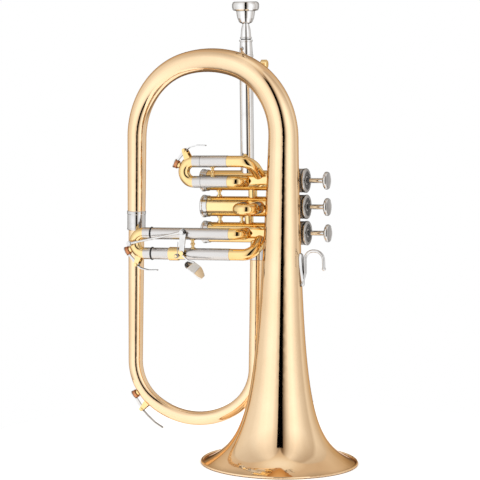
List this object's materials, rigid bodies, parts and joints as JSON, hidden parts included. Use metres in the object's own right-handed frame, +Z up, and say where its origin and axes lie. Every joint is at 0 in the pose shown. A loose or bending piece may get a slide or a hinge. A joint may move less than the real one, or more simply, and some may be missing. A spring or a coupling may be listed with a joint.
{
  "type": "flugelhorn",
  "caption": "Three-valve flugelhorn standing on its bell, with a third-slide trigger, three water keys, a tuning leadpipe and a mouthpiece.",
  "frame": {"origin": "Centre of the bell mouth, on the plane of the rim that the horn stands on.", "axes": "+Z up along the bell axis, +X towards the finger buttons, +Y from the bell towards the leadpipe side."},
  "size_m": [0.2512, 0.1524, 0.444],
  "materials": {
    "rose_brass": "clear-lacquered rose brass, mirror polished",
    "yellow_brass": "clear-lacquered yellow brass, mirror polished",
    "nickel_silver": "satin nickel silver",
    "silver_plate": "bright silver plate",
    "nickel_plate": "bright nickel plate",
    "monel": "honed monel",
    "spring_steel": "bright spring wire",
    "pad_copper": "copper-coloured synthetic pad",
    "felt": "black pressed felt",
    "black_rubber": "black rubber"
  },
  "bodies": {
    "root": {"bell": "rose_brass", "bell_bow": "rose_brass", "main_tube": "rose_brass", "valve_casing_1": "yellow_brass", "valve_casing_2": "yellow_brass", "valve_casing_3": "yellow_brass", "casing_posts": "yellow_brass", "casing_knuckles": "yellow_brass", "first_slide_knuckles": "yellow_brass", "second_slide_knuckles": "yellow_brass", "third_slide_knuckles": "yellow_brass", "slide_braces": "yellow_brass", "leadpipe_clamp": "yellow_brass", "bell_braces": "yellow_brass", "trigger_bracket": "yellow_brass", "main_water_key_saddle": "yellow_brass", "first_slide_sleeves": "nickel_silver", "second_slide_sleeves": "nickel_silver", "third_slide_sleeves": "nickel_silver", "bow_ferrule": "nickel_silver", "valve_exit_ferrule": "nickel_silver", "leadpipe_sleeve": "silver_plate", "top_caps": "nickel_plate", "bottom_caps": "nickel_plate", "finger_hook": "nickel_plate", "valve_springs": "spring_steel", "main_water_key_spring": "spring_steel", "trigger_spring": "spring_steel", "valve_felts": "felt"},
    "leadpipe": {"leadpipe": "silver_plate", "receiver_screw": "nickel_plate"},
    "mouthpiece": {"mouthpiece": "silver_plate"},
    "tuning_screw": {"tuning_screw": "yellow_brass"},
    "valve_1": {"piston_1": "monel", "valve_stem_1": "nickel_plate", "finger_button_1": "nickel_plate"},
    "valve_2": {"piston_2": "monel", "valve_stem_2": "nickel_plate", "finger_button_2": "nickel_plate"},
    "valve_3": {"piston_3": "monel", "valve_stem_3": "nickel_plate", "finger_button_3": "nickel_plate"},
    "first_slide": {"first_slide_crook": "yellow_brass", "first_slide_legs": "nickel_silver", "first_slide_water_key_saddle": "yellow_brass", "first_slide_water_key_spring": "spring_steel"},
    "second_slide": {"second_slide": "yellow_brass"},
    "third_slide": {"third_slide_crook": "yellow_brass", "third_slide_legs": "nickel_silver", "slide_bumper_rings": "black_rubber", "third_slide_water_key_saddle": "yellow_brass", "third_slide_water_key_spring": "spring_steel"},
    "first_slide_key": {"first_slide_water_key": "nickel_plate", "first_slide_water_key_cork": "pad_copper"},
    "third_slide_key": {"third_slide_water_key": "nickel_plate", "third_slide_water_key_cork": "pad_copper"},
    "main_key": {"main_water_key": "nickel_plate", "main_water_key_cork": "pad_copper"},
    "trigger": {"trigger_lever": "nickel_plate"},
    "trigger_rod": {"trigger_rod": "nickel_plate"}
  },
  "joints": [
    {"name": "valve_1", "type": "slide", "parent": "root", "child": "valve_1", "axis": [-0.9993, 0, -0.0384], "range_m": [0, 0.0165], "stiffness_N_per_m": 60, "springref_m": -0.03, "deforming": ["valve_springs"]},
    {"name": "valve_2", "type": "slide", "parent": "root", "child": "valve_2", "axis": [-0.9993, 0, -0.0384], "range_m": [0, 0.0165], "stiffness_N_per_m": 60, "springref_m": -0.03, "deforming": ["valve_springs"]},
    {"name": "valve_3", "type": "slide", "parent": "root", "child": "valve_3", "axis": [-0.9993, 0, -0.0384], "range_m": [0, 0.0165], "stiffness_N_per_m": 60, "springref_m": -0.03, "deforming": ["valve_springs"]},
    {"name": "first_slide", "type": "slide", "parent": "root", "child": "first_slide", "axis": [-0.9993, 0, -0.0384], "range_m": [0, 0.015]},
    {"name": "second_slide", "type": "slide", "parent": "root", "child": "second_slide", "axis": [0, -1, 0], "range_m": [0, 0.007]},
    {"name": "third_slide", "type": "slide", "parent": "root", "child": "third_slide", "axis": [-0.9993, 0, -0.0384], "range_m": [0, 0.0122], "stiffness_N_per_m": 150, "springref_m": -0.012},
    {"name": "trigger", "type": "hinge", "parent": "root", "child": "trigger", "pos_m": [-0.1049, 0.0018, 0.1986], "axis": [0, -1, 0], "range_deg": [0, 33.2], "deforming": ["trigger_spring"]},
    {"name": "trigger_rod", "type": "hinge", "parent": "third_slide", "child": "trigger_rod", "pos_m": [-0.1598, -0.0008, 0.2056], "axis": [0, 1, 0], "range_deg": [0, 1.8]},
    {"name": "first_slide_key", "type": "hinge", "parent": "first_slide", "child": "first_slide_key", "pos_m": [-0.10559, 0.01, 0.29894], "axis": [0, 1, 0], "range_deg": [0, 15], "stiffness_Nm_per_rad": 0.02, "springref_deg": -34.38, "deforming": ["first_slide_water_key_spring"]},
    {"name": "third_slide_key", "type": "hinge", "parent": "third_slide", "child": "third_slide_key", "pos_m": [-0.15602, 0.01, 0.18411], "axis": [0, -1, 0], "range_deg": [0, 15], "stiffness_Nm_per_rad": 0.02, "springref_deg": -34.38, "deforming": ["third_slide_water_key_spring"]},
    {"name": "main_key", "type": "hinge", "parent": "root", "child": "main_key", "pos_m": [-0.158, 0.03, 0.0354], "axis": [0, -1, 0], "range_deg": [0, 15], "stiffness_Nm_per_rad": 0.02, "springref_deg": -34.38, "deforming": ["main_water_key_spring"]},
    {"name": "leadpipe", "type": "slide", "parent": "root", "child": "leadpipe", "axis": [-0.0237, 0, 0.9997], "range_m": [0, 0.02]},
    {"name": "mouthpiece", "type": "slide", "parent": "leadpipe", "child": "mouthpiece", "axis": [-0.0237, 0, 0.9997], "range_m": [0, 0.012]},
    {"name": "tuning_screw", "type": "hinge", "parent": "root", "child": "tuning_screw", "pos_m": [-0.05028, 0.03, 0.38312], "axis": [0.9997, 0, 0.0237], "range_deg": [0, 180]}
  ],
  "couplings": [
    {"joint": "trigger", "follows": "third_slide", "rad_per_m": 47.3},
    {"joint": "trigger_rod", "follows": "third_slide", "rad_per_m": 2.5}
  ]
}
